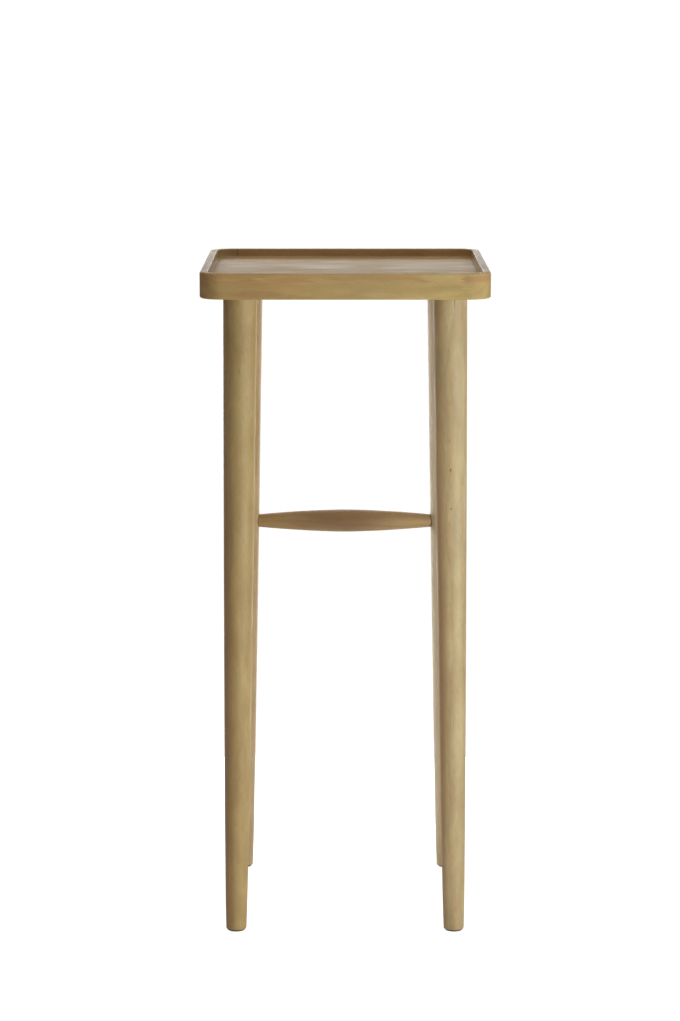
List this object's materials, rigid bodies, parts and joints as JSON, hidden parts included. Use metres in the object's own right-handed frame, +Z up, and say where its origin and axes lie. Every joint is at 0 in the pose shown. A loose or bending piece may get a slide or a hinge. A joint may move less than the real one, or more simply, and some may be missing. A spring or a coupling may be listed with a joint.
{
  "type": "pedestal column",
  "caption": "Tall slim wooden pedestal with a square rimmed tray on turned, slightly splayed legs and a rear stretcher, for holding up a plant or an ornament",
  "frame": {"origin": "on the floor, under the middle of the tray", "axes": "+Z up, front faces -Y, +X to the right as seen from the front; the stretcher is at the rear, +Y"},
  "size_m": [0.3, 0.3, 0.708],
  "materials": {
    "tray_wood": "brown hardwood with fine grain, satin clear coat",
    "leg_wood": "brown hardwood with lengthwise grain, satin clear coat",
    "stretcher_wood": "brown hardwood with lengthwise grain, satin clear coat",
    "glide_plastic": "dark brown, matt"
  },
  "bodies": {
    "root": {"tray_front_stave": "tray_wood", "tray_front_stave_end": "tray_wood", "tray_front_inner_stave": "tray_wood", "tray_front_middle_stave": "tray_wood", "tray_back_middle_stave": "tray_wood", "tray_back_inner_stave": "tray_wood", "tray_back_stave": "tray_wood", "tray_back_stave_end": "tray_wood", "front_left_leg": "leg_wood", "front_right_leg": "leg_wood", "rear_left_leg": "leg_wood", "rear_right_leg": "leg_wood", "rear_stretcher": "stretcher_wood", "front_left_foot_glide": "glide_plastic", "front_right_foot_glide": "glide_plastic", "rear_left_foot_glide": "glide_plastic", "rear_right_foot_glide": "glide_plastic"}
  },
  "joints": []
}
